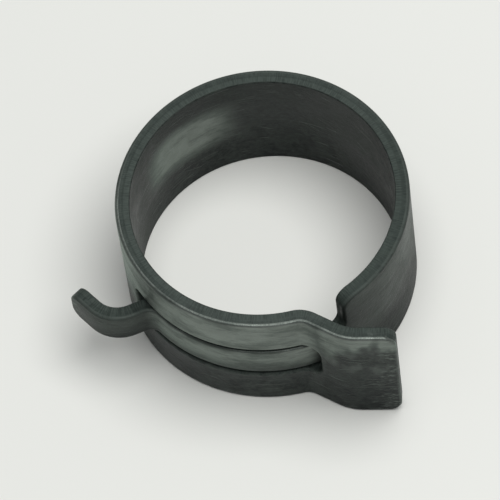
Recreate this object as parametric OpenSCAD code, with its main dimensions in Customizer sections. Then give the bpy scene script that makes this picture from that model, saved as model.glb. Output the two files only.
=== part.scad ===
// Constant-tension spring hose clamp: one rolled spring-steel strip whose ends
// cross at the front and finish as a wide tang and a narrow hooked tang.
// Millimetres. Origin at the bore centre, half way up the band; +Z along the
// bore axis; the tangs are at the front (-Y), the wide one towards +X.
// Angles are measured around +Z from the front, positive towards +X.
// The strip is divided at its flex lines: each length is a solid of its own and
// turns on its neighbour about the outer edge of the line between them, which
// is how the ring grows when the tangs are squeezed together.

/* [Band] */
// Inside diameter of the relaxed clamp
inner_d = 21.2; // [20.4:0.1:22.4]
// Thickness of the strip
strip_t = 1.2; // [1:0.05:1.3]
// Width of the band
band_w = 12; // [10:0.5:13]
// Hairline gap at each flex line
flex_gap = 0.04; // [0.02:0.01:0.08]
// Angle between two flex lines
flex_pitch = 32; // [31:0.5:32]
// Angle of the flex line nearest the front, on each side
flex_first = 2; // [1:0.5:3]

/* [Tongue and window] */
// Width of the tongue
tongue_w = 3.2; // [3:0.1:4]
// Side clearance between the tongue and the window
window_clear = 0.4; // [0.3:0.05:0.5]
// Angle of the blind end of the window
window_angle = -46; // [-49:0.5:-45.5]
// Corner radius at the blind end of the window
window_r = 1; // [0.5:0.1:1.5]
// Angle of the step from full width down to the tongue
shoulder_angle = 49; // [47:0.5:52]
// Radius of the fillets beside the tongue at the step
shoulder_fillet = 1.4; // [0.8:0.1:1.5]
// Radius of the outer corners of the step
shoulder_corner = 1.2; // [0.5:0.1:2]

/* [Wide tang] */
// Angle at which the wide tang leaves the ring
wide_angle = 29; // [28.5:0.5:31]
// How far the strip is bent outwards there
wide_bend = 42; // [40:1:46]
// Bend radius at the middle of the strip
wide_bend_r = 2; // [1.6:0.1:2.2]
// How far the window runs on past the bend
window_past_bend = 0.8; // [0.7:0.05:1]
// Distance from the root corner to the corner where the tang flattens out
wide_rise = 3.8; // [3.4:0.1:4.2]
// How far the tang is turned back there
wide_curl = 28; // [16:1:30]
// Radius of that turn at the middle of the strip
wide_curl_r = 4; // [2:0.5:4]
// Distance from that corner to the tip
wide_hook = 4; // [3.4:0.1:4.6]
// Corner radius at the tip
wide_corner = 1.2; // [0.5:0.1:1.6]

/* [Narrow tang] */
// Angle at which the narrow tang leaves the ring
narrow_angle = -31; // [-33:0.5:-30.5]
// How far the strip is bent outwards there
narrow_bend = 70; // [64:1:74]
// Bend radius at the middle of the strip
narrow_bend_r = 1.6; // [1.3:0.1:1.8]
// Distance from the root corner to the corner of the hook
narrow_rise = 3.8; // [3.6:0.1:4.4]
// How far the hook curls back
narrow_curl = 68; // [56:1:70]
// Curl radius at the middle of the strip
narrow_curl_r = 2.6; // [2:0.1:3]
// Distance from the corner of the hook to its tip
narrow_hook = 4.1; // [3.8:0.1:5]
// Corner radius at the tip
narrow_corner = 1.1; // [0.5:0.1:1.5]

/* [Hidden] */
$fn = 144;
r_in = inner_d / 2;
r_out = r_in + strip_t;
r_mid = r_in + strip_t / 2;
half_w = band_w / 2;
tongue_h = tongue_w / 2;
window_h = tongue_h + window_clear;
gap_a = flex_gap / 2 / r_mid * 180 / PI;
// flex lines, counted from the front (0) to the back (5)
function flex(i) = flex_first + flex_pitch * i;

steel = [0.16, 0.18, 0.18];
steel_dark = [0.12, 0.135, 0.14];
steel_light = [0.22, 0.24, 0.24];

// a point on the ring: angle from the front, radius
function ring_pt(b, r) = [r * sin(b), -r * cos(b)];
function dir(a) = [cos(a), sin(a)];

// A bent strip as an outline. Each state is [x, y, heading]; a leg is
// [length, turn]: straight when the turn is 0, else an arc of that length.
bend_step = 5;
function advance(s, len, turn) =
    abs(turn) < 0.001
        ? [s[0] + len * cos(s[2]), s[1] + len * sin(s[2]), s[2]]
        : let (r = len / (turn * PI / 180))
          [s[0] + r * (sin(s[2] + turn) - sin(s[2])),
           s[1] - r * (cos(s[2] + turn) - cos(s[2])),
           s[2] + turn];
function leg_states(s, leg) =
    let (n = max(1, round(abs(leg[1]) / bend_step)))
    [for (k = [1:n]) advance(s, leg[0] * k / n, leg[1] * k / n)];
function path(s, legs, i = 0) =
    i == 0 ? concat([s], i < len(legs) ? path_on(s, legs, 0) : [])
           : path_on(s, legs, i);
function path_on(s, legs, i) =
    i >= len(legs) ? []
        : let (here = leg_states(s, legs[i]))
          concat(here, path_on(here[len(here) - 1], legs, i + 1));
function side(states, d) =
    [for (s = states) [s[0] - d * sin(s[2]), s[1] + d * cos(s[2])]];
function reversed(v) = [for (i = [len(v) - 1:-1:0]) v[i]];

module bent_strip(states, z0, z1) {
    translate([0, 0, z0])
        linear_extrude(height = z1 - z0)
            polygon(concat(side(states, strip_t / 2), reversed(side(states, -strip_t / 2))));
}

// a length of the ring between two angles and two heights
module ring_arc(b0, b1, z0, z1) {
    rotate([0, 0, b0 - 90])
        rotate_extrude(angle = b1 - b0)
            translate([r_in, z0])
                square([strip_t, z1 - z0]);
}

// a full-width length between two flex lines
module band_length(b0, b1) {
    ring_arc(b0 + gap_a, b1 - gap_a, -half_w, half_w);
}

// an outline drawn on the band as seen from outside at angle b (x along the
// band towards +X, y up), cut through the band's thickness
module through_band(b) {
    rotate([0, 0, b])
        translate([0, -r_in + 1.5, 0])
            rotate([90, 0, 0])
                linear_extrude(height = strip_t + 3)
                    children();
}

function arc_pts(c, r, a0, a1, n = 8) =
    [for (k = [0:n]) [c[0] + r * cos(a0 + (a1 - a0) * k / n), c[1] + r * sin(a0 + (a1 - a0) * k / n)]];

// the window's outline from its blind end
module window_outline() {
    polygon(concat(
        arc_pts([window_r, window_h - window_r], window_r, 180, 90),
        [[12, window_h], [12, -window_h]],
        arc_pts([window_r, -window_h + window_r], window_r, 270, 180)));
}

// the strip's outline where it steps down to the tongue
module shoulder_outline() {
    f = shoulder_fillet;
    c = shoulder_corner;
    top = concat(
        [[9, half_w]],
        arc_pts([c, half_w - c], c, 90, 180),
        arc_pts([-f, tongue_h + f], f, 0, -90),
        [[-6, tongue_h]]);
    polygon(concat(top, reversed([for (p = top) [p[0], -p[1]]])));
}

// angle at which the shoulder's fillets have run out into the tongue
neck_angle = shoulder_angle - shoulder_fillet / r_mid * 180 / PI - 0.4;

module back_band() { color(steel) band_length(flex(5), 360 - flex(5)); }

module left_rear_band() { color(steel_light) band_length(-flex(5), -flex(4)); }
module left_side_band() { color(steel) band_length(-flex(4), -flex(3)); }
module left_front_band() { color(steel_light) band_length(-flex(3), -flex(2)); }
module window_band() { color(steel) ring_arc(-flex(2) + gap_a, window_angle, -half_w, half_w); }

// the rails run from the blind end of the window to the wide tang
module rail_start(up) {
    difference() {
        ring_arc(window_angle, -flex(1) - gap_a, up > 0 ? window_h - window_r : -half_w, up > 0 ? half_w : window_r - window_h);
        through_band(window_angle) window_outline();
    }
}
module rail(b0, b1, up) {
    ring_arc(b0, b1, up > 0 ? window_h : -half_w, up > 0 ? half_w : -window_h);
}
module upper_rail_start() { color(steel) rail_start(1); }
module lower_rail_start() { color(steel) rail_start(-1); }
module upper_rail() { color(steel_light) rail(-flex(1) + gap_a, -flex(0) - gap_a, 1); }
module lower_rail() { color(steel_light) rail(-flex(1) + gap_a, -flex(0) - gap_a, -1); }
module upper_rail_end() { color(steel) rail(-flex(0) + gap_a, wide_angle, 1); }
module lower_rail_end() { color(steel) rail(-flex(0) + gap_a, wide_angle, -1); }

// cutters that round the two corners of a strip's tip, at the state it ends in
module tip_rounding(end, h, c) {
    translate([end[0], end[1], 0])
        rotate([0, 0, end[2]])
            for (s = [-1, 1])
                translate([0, strip_t, 0])
                    rotate([90, 0, 0])
                        linear_extrude(height = 2 * strip_t)
                            polygon(concat(
                                [[0.5, s * (h + 0.5)], [-c, s * (h + 0.5)]],
                                arc_pts([-c, s * (h - c)], c, s * 90, 0),
                                [[0.5, s * (h - c)]]));
}

// the wide tang, from where it leaves the ring
wide_root = [ring_pt(wide_angle, r_mid)[0], ring_pt(wide_angle, r_mid)[1], wide_angle];
wide_t1 = wide_bend_r * tan(wide_bend / 2);
wide_t2 = wide_curl_r * tan(wide_curl / 2);
wide_states = path(wide_root, [
    [wide_bend_r * wide_bend * PI / 180, -wide_bend],
    [window_past_bend, 0]]);
window_end = wide_states[len(wide_states) - 1];
wide_tip_states = path(window_end, [
    [wide_rise - wide_t1 - wide_t2 - window_past_bend, 0],
    [wide_curl_r * wide_curl * PI / 180, wide_curl],
    [wide_hook - wide_t2, 0]]);

module upper_tang_root() { color(steel_light) bent_strip(wide_states, window_h, half_w); }
module lower_tang_root() { color(steel_light) bent_strip(wide_states, -half_w, -window_h); }
module wide_tang() {
    color(steel)
        difference() {
            bent_strip(wide_tip_states, -half_w, half_w);
            tip_rounding(wide_tip_states[len(wide_tip_states) - 1], half_w, wide_corner);
        }
}

module right_rear_band() { color(steel_light) band_length(flex(4), flex(5)); }
module right_side_band() { color(steel) band_length(flex(3), flex(4)); }
module right_front_band() { color(steel_light) band_length(flex(2), flex(3)); }

module shoulder_band() {
    color(steel)
        intersection() {
            ring_arc(neck_angle, flex(2) - gap_a, -half_w, half_w);
            through_band(shoulder_angle) shoulder_outline();
        }
}
module tongue_root() { color(steel_dark) ring_arc(flex(1) + gap_a, neck_angle, -tongue_h, tongue_h); }
module tongue_middle() { color(steel_light) ring_arc(flex(0) + gap_a, flex(1) - gap_a, -tongue_h, tongue_h); }
module tongue_end() { color(steel_dark) ring_arc(narrow_angle, flex(0) - gap_a, -tongue_h, tongue_h); }

// the narrow tang runs the other way round the ring, so its heading is reversed
narrow_root = [ring_pt(narrow_angle, r_mid)[0], ring_pt(narrow_angle, r_mid)[1], narrow_angle + 180];
narrow_t1 = narrow_bend_r * tan(narrow_bend / 2);
narrow_t2 = narrow_curl_r * tan(narrow_curl / 2);
narrow_legs = [
    [narrow_bend_r * narrow_bend * PI / 180, narrow_bend],
    [narrow_rise - narrow_t1 - narrow_t2, 0],
    [narrow_curl_r * narrow_curl * PI / 180, -narrow_curl],
    [narrow_hook - narrow_t2, 0]];
narrow_states = path(narrow_root, narrow_legs);

module narrow_tang() {
    color(steel_light)
        difference() {
            bent_strip(narrow_states, -tongue_h, tongue_h);
            tip_rounding(narrow_states[len(narrow_states) - 1], tongue_h, narrow_corner);
        }
}

back_band();
left_rear_band();
left_side_band();
left_front_band();
window_band();
upper_rail_start();
lower_rail_start();
upper_rail();
lower_rail();
upper_rail_end();
lower_rail_end();
upper_tang_root();
lower_tang_root();
wide_tang();
right_rear_band();
right_side_band();
right_front_band();
shoulder_band();
tongue_root();
tongue_middle();
tongue_end();
narrow_tang();
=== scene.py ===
import math

import bmesh
import bpy
import numpy as np
from mathutils import Matrix, Vector
from mathutils.geometry import delaunay_2d_cdt


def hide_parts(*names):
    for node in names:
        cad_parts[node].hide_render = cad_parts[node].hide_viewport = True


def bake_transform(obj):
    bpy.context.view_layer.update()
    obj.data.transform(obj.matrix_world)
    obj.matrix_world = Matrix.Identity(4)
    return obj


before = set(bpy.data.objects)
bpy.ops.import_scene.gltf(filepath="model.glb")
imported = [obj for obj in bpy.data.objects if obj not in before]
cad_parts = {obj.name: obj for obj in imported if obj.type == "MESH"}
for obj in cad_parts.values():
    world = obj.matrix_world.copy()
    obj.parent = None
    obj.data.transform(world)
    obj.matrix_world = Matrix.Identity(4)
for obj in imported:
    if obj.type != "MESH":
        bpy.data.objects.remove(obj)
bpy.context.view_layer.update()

# ---------------------------------------------------------------------------
# The strip's own dimensions, in millimetres, as the CAD source has them.
# The strip is described flat first: s runs along it, z across it (the ring's
# axis) and n through its thickness, outwards. s = 0 is at the back of the ring,
# s > 0 runs by the left to the wide tang, s < 0 by the right to the narrow one.
# ---------------------------------------------------------------------------
R_MID, T, HALF_W = 11.2, 1.2, 6.0
FLEX = [2 + 32 * i for i in range(6)]  # flex lines, degrees from the front
TONGUE_H, WINDOW_H, WINDOW_R = 1.6, 2.0, 1.0
WINDOW_START, SHOULDER_AT = 134.0, 131.0  # degrees from the back
SHOULDER_F, SHOULDER_C = 1.4, 1.2
WIDE_AT, WIDE_BEND, WIDE_R, WIDE_RISE, WIDE_CURL, WIDE_CR, WIDE_HOOK, WIDE_C = 209.0, 42.0, 2.0, 3.8, 28.0, 4.0, 4.0, 1.2
PAST_BEND = 0.8
NARROW_AT, NARROW_BEND, NARROW_R, NARROW_RISE, NARROW_CURL, NARROW_CR, NARROW_HOOK, NARROW_C = 211.0, 70.0, 1.6, 3.8, 68.0, 2.6, 4.1, 1.1
ROLL_R, BURR_R = 0.24, 0.13  # edge radii: outer (rolled over) side, inner side
STEP = 0.2  # spacing of the mesh along the strip


def arc(deg):
    return math.radians(deg) * R_MID


def tan_len(r, turn):
    return r * math.tan(math.radians(turn / 2))


WIDE_LEGS = [
    (WIDE_R * math.radians(WIDE_BEND), -WIDE_BEND),
    (WIDE_RISE - tan_len(WIDE_R, WIDE_BEND) - tan_len(WIDE_CR, WIDE_CURL), 0.0),
    (WIDE_CR * math.radians(WIDE_CURL), WIDE_CURL),
    (WIDE_HOOK - tan_len(WIDE_CR, WIDE_CURL), 0.0),
]
NARROW_LEGS = [
    (NARROW_R * math.radians(NARROW_BEND), NARROW_BEND),
    (NARROW_RISE - tan_len(NARROW_R, NARROW_BEND) - tan_len(NARROW_CR, NARROW_CURL), 0.0),
    (NARROW_CR * math.radians(NARROW_CURL), -NARROW_CURL),
    (NARROW_HOOK - tan_len(NARROW_CR, NARROW_CURL), 0.0),
]
S_WIDE, S_NARROW = arc(WIDE_AT), -arc(NARROW_AT)
S_END = S_WIDE + sum(leg[0] for leg in WIDE_LEGS)
S_START = S_NARROW - sum(leg[0] for leg in NARROW_LEGS)
S_W0 = arc(WINDOW_START)
S_W1 = S_WIDE + WIDE_LEGS[0][0] + PAST_BEND
S_SH = -arc(SHOULDER_AT)
INNER_HIGHLIGHT_S = arc(55.0)  # middle of the painted highlight inside


def advance(state, length, turn):
    x, y, h = state
    if abs(turn) < 1e-9:
        return x + length * math.cos(h), y + length * math.sin(h), h
    r = length / turn
    return x + r * (math.sin(h + turn) - math.sin(h)), y - r * (math.cos(h + turn) - math.cos(h)), h + turn


def walk(state, legs, d):
    """The state after distance d along the legs."""
    for length, turn in legs:
        turn = math.radians(turn)
        if d <= length:
            return advance(state, d, turn * d / length)
        state, d = advance(state, length, turn), d - length
    return advance(state, d, 0.0)


def place(s):
    """Centre line of the bent strip at s: x, y and heading of increasing s."""
    if s > S_WIDE:
        b = math.radians(WIDE_AT - 180)
        x, y, h = walk((R_MID * math.sin(b), -R_MID * math.cos(b), b), WIDE_LEGS, s - S_WIDE)
        return x, y, h
    if s < S_NARROW:
        b = math.radians(180 - NARROW_AT)
        x, y, h = walk((R_MID * math.sin(b), -R_MID * math.cos(b), b + math.pi), NARROW_LEGS, S_NARROW - s)
        return x, y, h - math.pi
    b = math.pi + s / R_MID
    return R_MID * math.sin(b), -R_MID * math.cos(b), b


# ---------------------------------------------------------------------------
# Flat outlines: points with the direction into the metal, in order
# ---------------------------------------------------------------------------
# The cuts between pieces lie in the middle of each rigid length, where both
# neighbours follow the same body.
CUTS = [arc(a) for a in (0, 34, 66, 98, 130, 162)] + [-arc(a) for a in (34, 66, 98, 122, 162)]
CUTS = sorted(CUTS)


def make_columns():
    marks = [S_START] + CUTS + [S_END]
    out = []
    for a, b in zip(marks, marks[1:]):
        n = max(1, round((b - a) / STEP))
        out += [a + (b - a) * k / n for k in range(n)]
    return np.array(out + [S_END])


COLUMNS = make_columns()


def run_s(a, b, z, inward):
    """A straight edge along the strip, sampled at the mesh's columns."""
    lo, hi = min(a, b), max(a, b)
    inner = [c for c in COLUMNS if lo + 0.06 < c < hi - 0.06]
    pts = [lo] + inner + [hi]
    if a > b:
        pts = pts[::-1]
    return [(p, z, 0.0, inward) for p in pts]


def run_z(s, a, b, inward):
    n = max(1, round(abs(b - a) / 0.4))
    return [(s, a + (b - a) * k / n, inward, 0.0) for k in range(n + 1)]


def corner(cs, cz, r, a0, a1, convex):
    """A rounded corner. Inward is towards its centre on a convex one, and away from it on a concave one."""
    n = max(6, round(abs(a1 - a0) / 7.5))
    out = []
    for k in range(n + 1):
        a = math.radians(a0 + (a1 - a0) * k / n)
        sgn = -1.0 if convex else 1.0
        out.append((cs + r * math.cos(a), cz + r * math.sin(a), sgn * math.cos(a), sgn * math.sin(a)))
    return out


def tidy(loop):
    """Drops a point that repeats the one before it."""
    out = []
    for p in loop:
        if not out or math.hypot(p[0] - out[-1][0], p[1] - out[-1][1]) > 1e-6:
            out.append(p)
    if math.hypot(out[0][0] - out[-1][0], out[0][1] - out[-1][1]) < 1e-6:
        out.pop()
    return np.array(out)


c, f, n_c = WIDE_C, SHOULDER_F, NARROW_C
outer = tidy(
    run_z(S_END, -HALF_W + c, HALF_W - c, -1.0)
    + corner(S_END - c, HALF_W - c, c, 0, 90, True)
    + run_s(S_END - c, S_SH + SHOULDER_C, HALF_W, -1.0)
    + corner(S_SH + SHOULDER_C, HALF_W - SHOULDER_C, SHOULDER_C, 90, 180, True)
    + run_z(S_SH, HALF_W - SHOULDER_C, TONGUE_H + f, 1.0)
    + corner(S_SH - f, TONGUE_H + f, f, 0, -90, False)
    + run_s(S_SH - f, S_START + n_c, TONGUE_H, -1.0)
    + corner(S_START + n_c, TONGUE_H - n_c, n_c, 90, 180, True)
    + run_z(S_START, TONGUE_H - n_c, -TONGUE_H + n_c, 1.0)
    + corner(S_START + n_c, -TONGUE_H + n_c, n_c, 180, 270, True)
    + run_s(S_START + n_c, S_SH - f, -TONGUE_H, 1.0)
    + corner(S_SH - f, -TONGUE_H - f, f, 90, 0, False)
    + run_z(S_SH, -TONGUE_H - f, -HALF_W + SHOULDER_C, 1.0)
    + corner(S_SH + SHOULDER_C, -HALF_W + SHOULDER_C, SHOULDER_C, 180, 270, True)
    + run_s(S_SH + SHOULDER_C, S_END - c, -HALF_W, 1.0)
    + corner(S_END - c, -HALF_W + c, c, 270, 360, True)
)
w = WINDOW_R
window = tidy(
    run_s(S_W0 + w, S_W1 - w, WINDOW_H, 1.0)
    + corner(S_W1 - w, WINDOW_H - w, w, 90, 0, False)
    + run_z(S_W1, WINDOW_H - w, -WINDOW_H + w, 1.0)
    + corner(S_W1 - w, -WINDOW_H + w, w, 0, -90, False)
    + run_s(S_W1 - w, S_W0 + w, -WINDOW_H, -1.0)
    + corner(S_W0 + w, -WINDOW_H + w, w, 270, 180, False)
    + run_z(S_W0, -WINDOW_H + w, WINDOW_H - w, -1.0)
    + corner(S_W0 + w, WINDOW_H - w, w, 180, 90, False)
)


def inside(points, loop):
    """Even-odd test of points against a closed loop."""
    x, y = points[:, 0][:, None], points[:, 1][:, None]
    x0, y0 = loop[:, 0][None], loop[:, 1][None]
    x1, y1 = np.roll(loop[:, 0], -1)[None], np.roll(loop[:, 1], -1)[None]
    crosses = (y0 > y) != (y1 > y)
    at = (x1 - x0) * (y - y0) / np.where(y1 == y0, 1e-12, y1 - y0) + x0
    return (np.sum(crosses & (x < at), axis=1) % 2) == 1


# ---------------------------------------------------------------------------
# The flat strip as one closed mesh: side walls, rounded edges, two faces
# ---------------------------------------------------------------------------
verts, normals, edge_of, faces = [], [], [], []


def add(s, z, n, normal, edge):
    verts.append((s, z, n))
    normals.append(normal)
    edge_of.append(edge)
    return len(verts) - 1


def ring(loop, d, n, lean, edge):
    """One line of vertices round an outline, d in from it. lean is the angle from the side wall to the face, signed."""
    cl, sl = math.cos(lean), math.sin(lean)
    return [add(p[0] + d * p[2], p[1] + d * p[3], n, (-p[2] * cl, -p[3] * cl, sl), edge) for p in loop]


def strip_of(a, b):
    m = len(a)
    for k in range(m):
        j = (k + 1) % m
        faces.append((a[k], a[j], b[j], b[k]))


ARC_STEPS = 5
last = {}
for name, loop in (("outer", outer), ("window", window)):
    for side, r in ((1, ROLL_R), (-1, BURR_R)):
        rows = []
        for k in range(ARC_STEPS + 1):
            a = math.pi / 2 * k / ARC_STEPS
            rows.append(
                ring(loop, r * (1 - math.cos(a)), side * (T / 2 - r + r * math.sin(a)), side * a, math.sin(2 * a) * 0.9 + 0.1 if k < ARC_STEPS else 0.0)
            )
        for lo, hi in zip(rows, rows[1:]):
            strip_of(lo, hi) if side > 0 else strip_of(hi, lo)
        last[name, side] = rows[-1]
        last[name, side, "wall"] = rows[0]
    # a line half way up the side wall, then the wall itself
    mid = ring(loop, 0.0, (BURR_R - ROLL_R) / 2, 0.0, 0.15)
    strip_of(mid, last[name, 1, "wall"])
    strip_of(last[name, -1, "wall"], mid)

ROWS = [0.0, 0.7, 1.15, 2.6, 3.3, 4.0, 4.7, 5.35]
ROWS = sorted(set([-z for z in ROWS] + ROWS))
outline_pts = np.concatenate([outer[:, :2], window[:, :2]])
for side, r in ((1, ROLL_R), (-1, BURR_R)):
    ids = last["outer", side] + last["window", side]
    pts = [Vector(verts[i][:2]) for i in ids]
    n_out, n_win = len(last["outer", side]), len(last["window", side])
    edges = [(k, (k + 1) % n_out) for k in range(n_out)]
    edges += [(n_out + k, n_out + (k + 1) % n_win) for k in range(n_win)]
    grid = np.array([(s, z) for s in COLUMNS for z in ROWS])
    grid = grid[inside(grid, outer) & ~inside(grid, window)]
    near = np.min(
        np.hypot(grid[:, 0][:, None] - outline_pts[None, :, 0], grid[:, 1][:, None] - outline_pts[None, :, 1]), axis=1
    )
    grid = grid[near > r + 0.2]
    for g in grid:
        ids.append(add(g[0], g[1], side * T / 2, (0.0, 0.0, float(side)), 0.0))
        pts.append(Vector((g[0], g[1])))
    flat = np.array([(p.x, p.y) for p in pts])
    for cut in CUTS:  # the mesh has an edge exactly along each cut
        here = sorted((flat[k, 1], k) for k in np.nonzero(np.abs(flat[:, 0] - cut) < 1e-4)[0])
        for (z0, k0), (z1, k1) in zip(here, here[1:]):
            middle = np.array([[cut + 1e-3, (z0 + z1) / 2]])
            if inside(middle, outer)[0] and not inside(middle, window)[0]:
                edges.append((int(k0), int(k1)))
    found = delaunay_2d_cdt(pts, edges, [], 0, 1e-7)
    origin = [o[0] if o else None for o in found[3]]
    tris = np.array([t for t in found[2] if len(t) == 3])
    co = np.array([(v.x, v.y) for v in found[0]])
    middles = co[tris].mean(axis=1)
    loop_out = np.array([verts[i][:2] for i in last["outer", side]])
    loop_win = np.array([verts[i][:2] for i in last["window", side]])
    keep = inside(middles, loop_out) & ~inside(middles, loop_win)
    for t in tris[keep]:
        a, b, d = (ids[origin[k]] for k in t)
        p, q, u = (verts[k] for k in (a, b, d))
        turn = (q[0] - p[0]) * (u[1] - p[1]) - (q[1] - p[1]) * (u[0] - p[0])
        if abs(turn) < 1e-9:
            continue
        faces.append((a, b, d) if (turn > 0) == (side > 0) else (a, d, b))

verts = np.array(verts, float)
normals = np.array(normals, float)
edge_of = np.array(edge_of, float)

# into three dimensions: n points away from the ring's middle
states = np.array([place(s) for s in verts[:, 0]])
heading = states[:, 2]
along = np.stack([np.cos(heading), np.sin(heading), np.zeros(len(heading))], axis=1)
out_dir = np.stack([np.sin(heading), -np.cos(heading), np.zeros(len(heading))], axis=1)
up_dir = np.array([0.0, 0.0, 1.0])
bent = np.stack([states[:, 0], states[:, 1], verts[:, 1]], axis=1) + out_dir * verts[:, 2:3]
bent_normals = along * normals[:, 0:1] + up_dir * normals[:, 1:2] + out_dir * normals[:, 2:3]
bent_normals /= np.linalg.norm(bent_normals, axis=1, keepdims=True)
face_s = np.array([verts[list(f_), 0].mean() for f_ in faces])


# ---------------------------------------------------------------------------
# Materials
# ---------------------------------------------------------------------------
def new_material(name):
    m = bpy.data.materials.new(name)
    m.use_nodes = True
    m.node_tree.nodes.clear()
    return m, m.node_tree.nodes, m.node_tree.links


def steel_material():
    m, N, L = new_material("dark_coated_spring_steel")

    def node(kind, **kw):
        made = N.new(kind)
        for k, v in kw.items():
            if k == "values":
                for key, val in v.items():
                    made.inputs[key].default_value = val
            else:
                setattr(made, k, v)
        return made

    def math_node(op, a, b=None, clamp=False):
        made = node("ShaderNodeMath", operation=op, use_clamp=clamp)
        for i, val in enumerate((a, b)):
            if val is None:
                continue
            if isinstance(val, (int, float)):
                made.inputs[i].default_value = val
            else:
                L.new(val, made.inputs[i])
        return made.outputs[0]

    def remap(value, a, b, c0, c1):
        made = node("ShaderNodeMapRange", values={"From Min": a, "From Max": b, "To Min": c0, "To Max": c1})
        made.interpolation_type = "SMOOTHSTEP"
        L.new(value, made.inputs["Value"])
        return made.outputs["Result"]

    flat = node("ShaderNodeAttribute", attribute_name="strip_mm")
    edge = node("ShaderNodeAttribute", attribute_name="edge_wear")
    split = node("ShaderNodeSeparateXYZ")
    L.new(flat.outputs["Vector"], split.inputs[0])

    def noise(scale, detail=3.0, rough=0.55, stretch=None, distortion=0.0):
        made = node("ShaderNodeTexNoise", values={"Scale": scale, "Detail": detail, "Roughness": rough, "Distortion": distortion})
        if stretch:
            mp = node("ShaderNodeMapping", values={"Scale": stretch})
            L.new(flat.outputs["Vector"], mp.inputs["Vector"])
            L.new(mp.outputs[0], made.inputs["Vector"])
        else:
            L.new(flat.outputs["Vector"], made.inputs["Vector"])
        return made.outputs["Fac"]

    cloud = noise(0.16, 4.0, 0.6)  # broad changes of tone, some 6 mm across
    blotch = noise(0.8, 5.0, 0.65, distortion=0.5)  # patches of 1 mm or so in the coating
    mottle = noise(3.2, 3.0, 0.6)
    grain = noise(8.0, 3.0, 0.65)  # the fine matte grain of the coating
    fine = noise(22.0, 2.0, 0.7)
    drawn = noise(1.0, 3.0, 0.65, stretch=(0.3, 14.0, 3.0))  # rolling lines along the strip
    cut_lines = noise(1.0, 2.0, 0.6, stretch=(11.0, 11.0, 0.7))  # shear lines on the cut walls

    # how much of this point is cut wall rather than rolled face
    n_abs = math_node("ABSOLUTE", split.outputs["Z"])
    wall = remap(n_abs, 0.59, 0.5, 0.0, 1.0)
    torn = remap(split.outputs["Z"], 0.08, -0.12, 0.0, 1.0)
    torn = math_node("MULTIPLY", torn, wall)

    # fine rubbed lines: a few along the strip, fewer at a slant
    def rubbed(stretch, turn, low, high):
        mp = node("ShaderNodeMapping", values={"Scale": stretch, "Rotation": (0.0, 0.0, math.radians(turn))})
        mp.vector_type = "TEXTURE" if turn else "POINT"
        if turn:
            mp.inputs["Scale"].default_value = tuple(1.0 / v for v in stretch)
        L.new(flat.outputs["Vector"], mp.inputs["Vector"])
        lines = node("ShaderNodeTexNoise", values={"Scale": 1.0, "Detail": 1.0, "Roughness": 0.4, "Distortion": 0.15})
        L.new(mp.outputs[0], lines.inputs["Vector"])
        return remap(lines.outputs["Fac"], low, high, 0.0, 1.0)

    here = remap(noise(0.45, 2.0, 0.5), 0.46, 0.6, 0.0, 1.0)  # only in places
    scratch = math_node("MULTIPLY", rubbed((0.22, 9.0, 2.0), 0, 0.66, 0.72), here)
    slant = math_node("MULTIPLY", rubbed((0.3, 10.0, 2.0), 24, 0.67, 0.73), remap(noise(0.38, 2.0, 0.5), 0.5, 0.62, 0.0, 0.8))
    scratch = math_node("MAXIMUM", scratch, slant)
    scratch = math_node("MULTIPLY", scratch, math_node("SUBTRACT", 1.0, wall))

    # the last few millimetres of each tang are rubbed by the pliers' jaws
    scuffed = math_node(
        "ADD",
        remap(split.outputs["X"], S_END - 3.2, S_END - 0.6, 0.0, 1.0),
        remap(split.outputs["X"], S_START + 2.6, S_START + 0.5, 0.0, 1.0),
    )
    scuff = math_node("MULTIPLY", scuffed, remap(noise(1.0, 4.0, 0.7, stretch=(1.1, 3.4, 1.0)), 0.5, 0.66, 0.0, 1.0))

    # lighter, greyer patches, partly rubbing and partly painted light: outside, the upper half of the band is painted
    # lighter than the lower half, most on the tongue and the left front, none on the wide tang but a painted highlight
    # along its top; inside on the left, a painted highlight
    outside = math_node("GREATER_THAN", split.outputs["Z"], 0.3)
    # painted light: the band is lighter from its middle upwards and darker low down
    rub_and_painted_light = remap(split.outputs["Y"], -2.6, 0.8, 0.0, 1.0)
    on_wide = remap(split.outputs["X"], S_END - 7.2, S_END - 5.4, 0.0, 1.0)
    crossing = math_node(
        "MAXIMUM",
        remap(split.outputs["X"], arc(78.0), arc(112.0), 0.22, 1.0),
        remap(split.outputs["X"], S_SH, S_SH - 1.5, 0.0, 1.0),
    )
    rub_and_painted_light = math_node("MULTIPLY", rub_and_painted_light, math_node("SUBTRACT", crossing, on_wide, clamp=True))
    rub_and_painted_light = math_node("MULTIPLY", rub_and_painted_light, remap(split.outputs["X"], S_NARROW - 2.0, S_NARROW + 1.0, 0.25, 1.0))
    # a painted highlight along the top of the wide tang
    uneven = math_node("ADD", split.outputs["Y"], remap(noise(0.35, 3.0, 0.6, stretch=(0.8, 0.5, 1.0)), 0.35, 0.65, -2.2, 2.2))
    rub_and_painted_light = math_node("MAXIMUM", rub_and_painted_light, math_node("MULTIPLY", remap(uneven, 1.4, 5.6, 0.0, 1.0), on_wide))
    rub_and_painted_light = math_node("MULTIPLY", rub_and_painted_light, outside)
    # a painted highlight inside on the left, about mid-height, lighter and more metallic
    painted_inner_highlight = math_node(
        "MULTIPLY",
        remap(math_node("ABSOLUTE", math_node("SUBTRACT", split.outputs["X"], INNER_HIGHLIGHT_S)), 6.0, 1.5, 0.0, 1.0),
        remap(math_node("ABSOLUTE", math_node("SUBTRACT", split.outputs["Y"], 0.8)), 3.6, 1.0, 0.0, 1.0),
    )
    painted_inner_highlight = math_node("MULTIPLY", painted_inner_highlight, math_node("LESS_THAN", split.outputs["Z"], -0.3))
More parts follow.
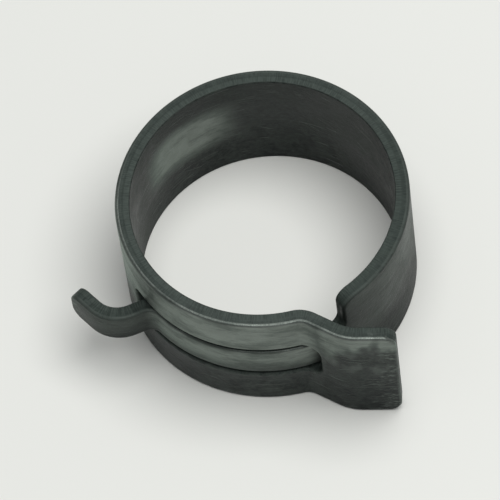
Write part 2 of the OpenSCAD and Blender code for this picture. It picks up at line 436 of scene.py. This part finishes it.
    # noise that breaks up the painted light and the painted highlight
    painted_light_breakup = noise(0.55, 4.0, 0.7, stretch=(0.45, 1.6, 1.0))
    rub_and_painted_light = math_node("MULTIPLY", math_node("MULTIPLY", rub_and_painted_light, 0.95), remap(painted_light_breakup, 0.34, 0.62, 0.46, 1.0))
    painted_inner_highlight = math_node("MULTIPLY", painted_inner_highlight, remap(painted_light_breakup, 0.32, 0.6, 0.6, 1.25))
    rub_and_painted_light = math_node("MAXIMUM", rub_and_painted_light, painted_inner_highlight, clamp=True)

    # colour: near-black, between green-grey and blue-grey
    tone = node("ShaderNodeValToRGB")
    tone.color_ramp.elements[0].position, tone.color_ramp.elements[1].position = 0.34, 0.66
    tone.color_ramp.elements[0].color = (0.0048, 0.0074, 0.0080, 1)
    tone.color_ramp.elements[1].color = (0.0190, 0.0262, 0.0215, 1)
    mid_tone = tone.color_ramp.elements.new(0.5)
    mid_tone.color = (0.0100, 0.0145, 0.0130, 1)
    mixed = math_node("ADD", math_node("MULTIPLY", cloud, 0.5), math_node("MULTIPLY", blotch, 0.5))
    L.new(mixed, tone.inputs["Fac"])
    speck = math_node("MULTIPLY", remap(grain, 0.35, 0.7, 0.7, 1.35), remap(mottle, 0.35, 0.68, 0.7, 1.4))
    shade = node("ShaderNodeMix", data_type="RGBA", blend_type="MULTIPLY", values={0: 1.0})
    L.new(tone.outputs["Color"], shade.inputs[6])
    speck_rgb = node("ShaderNodeCombineColor")
    for i in range(3):
        L.new(speck, speck_rgb.inputs[i])
    L.new(speck_rgb.outputs[0], shade.inputs[7])

    # wear: the coating thins on the rounded edges and shows greyer metal
    wear_noise = math_node("MULTIPLY", remap(noise(1.5, 5.0, 0.72), 0.36, 0.62, 0.12, 1.0), remap(grain, 0.3, 0.6, 0.55, 1.0))
    wear_and_painted_light = math_node("MULTIPLY", math_node("MULTIPLY", edge.outputs["Fac"], wear_noise), 0.33, clamp=True)
    wear_and_painted_light = math_node("MAXIMUM", wear_and_painted_light, math_node("MULTIPLY", scratch, 0.42))
    wear_and_painted_light = math_node("MAXIMUM", wear_and_painted_light, math_node("MULTIPLY", scuff, 0.5))
    # the painted light and the painted highlight join the wear here and take its greyer metal colour and metallic look
    wear_and_painted_light = math_node("MAXIMUM", wear_and_painted_light, rub_and_painted_light)
    worn_metal_and_painted_light = node("ShaderNodeMix", data_type="RGBA", values={7: (0.205, 0.226, 0.208, 1)})
    L.new(wear_and_painted_light, worn_metal_and_painted_light.inputs[0])
    L.new(shade.outputs[2], worn_metal_and_painted_light.inputs[6])
    walled = node("ShaderNodeMix", data_type="RGBA", values={7: (0.062, 0.077, 0.069, 1)})
    L.new(math_node("MULTIPLY", math_node("MAXIMUM", torn, math_node("MULTIPLY", wall, 0.72)), remap(cut_lines, 0.35, 0.65, 0.38, 0.85)), walled.inputs[0])
    L.new(worn_metal_and_painted_light.outputs[2], walled.inputs[6])

    rough = math_node("ADD", remap(cloud, 0.3, 0.7, 0.36, 0.46), remap(drawn, 0.3, 0.7, -0.03, 0.05))
    rough = math_node("ADD", rough, remap(blotch, 0.35, 0.68, -0.05, 0.09))
    rough = math_node("ADD", rough, remap(grain, 0.35, 0.7, -0.03, 0.05))
    rough = math_node("ADD", rough, math_node("MULTIPLY", torn, 0.14), clamp=True)

    height = math_node("ADD", math_node("MULTIPLY", grain, 0.16), math_node("MULTIPLY", fine, 0.03))
    height = math_node("ADD", height, math_node("MULTIPLY", mottle, 0.6))
    height = math_node("ADD", height, math_node("MULTIPLY", blotch, 1.0))
    height = math_node("ADD", height, math_node("MULTIPLY", drawn, 0.25))
    height = math_node("ADD", height, math_node("MULTIPLY", scratch, -0.3))
    height = math_node("ADD", height, math_node("MULTIPLY", math_node("MULTIPLY", cut_lines, torn), 2.0))
    bump = node("ShaderNodeBump", values={"Strength": 0.6, "Distance": 0.00005})
    L.new(height, bump.inputs["Height"])

    metal = remap(wear_and_painted_light, 0.05, 0.5, 0.0, 0.75)
    p = node("ShaderNodeBsdfPrincipled")
    L.new(walled.outputs[2], p.inputs["Base Color"])
    L.new(rough, p.inputs["Roughness"])
    L.new(metal, p.inputs["Metallic"])
    L.new(bump.outputs[0], p.inputs["Normal"])
    # reflection strength: patchy everywhere, lower on the cut walls, and lowered as painted shade low down, on the wide
    # tang, on the right side and inside
    sheen_and_painted_shade = math_node("ADD", remap(split.outputs["Y"], -5.5, 1.5, 0.3, 0.52), remap(blotch, 0.36, 0.66, -0.14, 0.16))
    sheen_and_painted_shade = math_node("MULTIPLY", sheen_and_painted_shade, remap(on_wide, 0.0, 1.0, 1.0, 0.5))
    sheen_and_painted_shade = math_node("MULTIPLY", sheen_and_painted_shade, remap(split.outputs["X"], arc(-60.0), arc(-20.0), 0.38, 1.0))
    sheen_and_painted_shade = math_node("MULTIPLY", sheen_and_painted_shade, remap(wall, 0.0, 1.0, 1.0, 0.52))
    inside = remap(split.outputs["Z"], -0.5, -0.58, 0.0, 1.0)
    sheen_and_painted_shade = math_node("MULTIPLY", sheen_and_painted_shade, remap(inside, 0.0, 1.0, 1.0, 0.6), clamp=True)
    p.inputs["Specular IOR Level"].default_value = 0.36  # for an export without the link
    L.new(sheen_and_painted_shade, p.inputs["Specular IOR Level"])
    p.inputs["IOR"].default_value = 1.42
    p.inputs["Specular Tint"].default_value = (0.88, 1.0, 0.94, 1)
    o = node("ShaderNodeOutputMaterial")
    L.new(p.outputs[0], o.inputs["Surface"])
    return m


steel = steel_material()

# ---------------------------------------------------------------------------
# Pieces: each spans one flex line, from the middle of one rigid length to the
# middle of the next
# ---------------------------------------------------------------------------
MM = 0.001


# name, s from, s to (degrees from the back), body a, body b, CAD nodes it stands for
PIECES = [
    ("band_back_left", 0, 34, "back", "left_rear", ("back_band", "left_rear_band")),
    ("band_left_rear", 34, 66, "left_rear", "left_side", ("left_rear_band", "left_side_band")),
    ("band_left_side", 66, 98, "left_side", "left_front", ("left_side_band", "left_front_band")),
    ("band_left_front", 98, 130, "left_front", "window_end", ("left_front_band", "window_band")),
    ("window_end_and_rails", 130, 162, "window_end", "rails", ("window_band", "upper_rail_start", "lower_rail_start", "upper_rail", "lower_rail")),
    ("rails_and_wide_tang", 162, 194, "rails", "wide_end", ("upper_rail", "lower_rail", "upper_rail_end", "lower_rail_end", "upper_tang_root", "lower_tang_root", "wide_tang")),
    ("band_back_right", 0, -34, "back", "right_rear", ("back_band", "right_rear_band")),
    ("band_right_rear", -34, -66, "right_rear", "right_side", ("right_rear_band", "right_side_band")),
    ("band_right_side", -66, -98, "right_side", "right_front", ("right_side_band", "right_front_band")),
    ("band_right_front", -98, -122, "right_front", "shoulder", ("right_front_band", "shoulder_band")),
    ("shoulder_and_tongue", -122, -162, "shoulder", "tongue", ("shoulder_band", "tongue_root", "tongue_middle")),
    ("tongue_and_narrow_tang", -162, -194, "tongue", "narrow_end", ("tongue_middle", "tongue_end", "narrow_tang")),
]

faces_arr = faces
for name, a0, a1, body_a, body_b, nodes in PIECES:
    lo, hi = sorted((arc(a0), arc(a1)))
    if a1 == 194:
        hi = S_END + 1
    if a1 == -194:
        lo = S_START - 1
    chosen = [faces_arr[k] for k in np.nonzero((face_s > lo) & (face_s < hi))[0]]
    used = sorted({i for f_ in chosen for i in f_})
    index = {i: k for k, i in enumerate(used)}
    bm = bmesh.new()
    for i in used:
        bm.verts.new(Vector(bent[i] * MM))
    bm.verts.ensure_lookup_table()
    for f_ in chosen:
        bm.faces.new([bm.verts[index[i]] for i in f_])
    n_skin = len(bm.faces)
    bm.edges.ensure_lookup_table()
    open_edges = [e for e in bm.edges if e.is_boundary]
    bmesh.ops.holes_fill(bm, edges=open_edges, sides=0)
    bmesh.ops.recalc_face_normals(bm, faces=bm.faces[:])
    mesh = bpy.data.meshes.new(name)
    bm.to_mesh(mesh)
    bm.free()
    mesh.attributes.new("strip_mm", "FLOAT_VECTOR", "POINT").data.foreach_set("vector", verts[used].astype(np.float32).ravel())
    mesh.attributes.new("edge_wear", "FLOAT", "POINT").data.foreach_set("value", edge_of[used].astype(np.float32))
    mesh.shade_smooth()
    loop_normals = np.zeros((len(mesh.loops), 3))
    vertex_normals = bent_normals[used]
    for poly in mesh.polygons:
        for li in poly.loop_indices:
            vi = mesh.loops[li].vertex_index
            loop_normals[li] = vertex_normals[vi] if poly.index < n_skin else poly.normal
    mesh.normals_split_custom_set(loop_normals.tolist())
    mesh.materials.append(steel)
    piece = bpy.data.objects.new(name, mesh)
    bpy.context.scene.collection.objects.link(piece)
    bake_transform(piece)
    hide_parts(*nodes)

# CAD nodes are all replaced; they still get the same finish
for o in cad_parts.values():
    o.data.materials.clear()
    o.data.materials.append(steel)


# ---------------------------------------------------------------------------
# Floor, light, camera
# ---------------------------------------------------------------------------
def floor_material():
    m, N, L = new_material("pale_floor")
    p = N.new("ShaderNodeBsdfPrincipled")
    p.inputs["Base Color"].default_value = (0.79, 0.8, 0.77, 1)
    p.inputs["Roughness"].default_value = 0.85
    p.inputs["Specular IOR Level"].default_value = 0.2
    o = N.new("ShaderNodeOutputMaterial")
    L.new(p.outputs[0], o.inputs["Surface"])
    return m


bm = bmesh.new()
bmesh.ops.create_grid(bm, x_segments=4, y_segments=4, size=0.6)
floor_mesh = bpy.data.meshes.new("floor")
bm.to_mesh(floor_mesh)
bm.free()
floor = bpy.data.objects.new("floor", floor_mesh)
floor.location.z = -HALF_W * MM - 0.00001
floor_mesh.materials.append(floor_material())
bpy.context.scene.collection.objects.link(floor)

world = bpy.data.worlds.new("studio")
world.use_nodes = True
world.node_tree.nodes["Background"].inputs["Color"].default_value = (0.93, 0.95, 0.96, 1)
world.node_tree.nodes["Background"].inputs["Strength"].default_value = 0.24
bpy.context.scene.world = world


def area(name, direction, distance, size, energy, colour=(1, 1, 1)):
    light = bpy.data.lights.new(name, "AREA")
    light.shape, light.size, light.energy, light.color = "DISK", size, energy, colour
    o = bpy.data.objects.new(name, light)
    d = Vector(direction).normalized()
    o.location = d * distance
    o.rotation_mode = "QUATERNION"
    o.rotation_quaternion = d.to_track_quat("Z", "Y")
    bpy.context.scene.collection.objects.link(o)
    return o


area("overhead", (0.2, 0.04, 1.0), 0.4, 0.37, 1.64, (1.0, 0.995, 0.985))

# the camera looks as the photographer did: from the front and a little to the
# right, 61 degrees up, with the picture turned 9 degrees
AZ, EL, ROLL = math.radians(24.0), math.radians(60.7), math.radians(8.6)
right = Vector((math.cos(AZ), math.sin(AZ), 0))
back = Vector((math.sin(AZ) * math.cos(EL), -math.cos(AZ) * math.cos(EL), math.sin(EL)))
up = back.cross(right)
cam_right = right * math.cos(ROLL) - up * math.sin(ROLL)
cam_up = right * math.sin(ROLL) + up * math.cos(ROLL)
cam_data = bpy.data.cameras.new("camera")
cam_data.lens, cam_data.sensor_width = 400, 36
camera = bpy.data.objects.new("camera", cam_data)
bpy.context.scene.collection.objects.link(camera)
look_at = Vector((-0.0011, -0.0014, -0.0008))
distance = 0.448
camera.matrix_world = Matrix.Translation(look_at + back * distance) @ Matrix((cam_right, cam_up, back)).transposed().to_4x4()
cam_data.clip_start, cam_data.clip_end = 0.001, 10
bpy.context.scene.camera = camera
bpy.context.scene.view_settings.view_transform = "Standard"
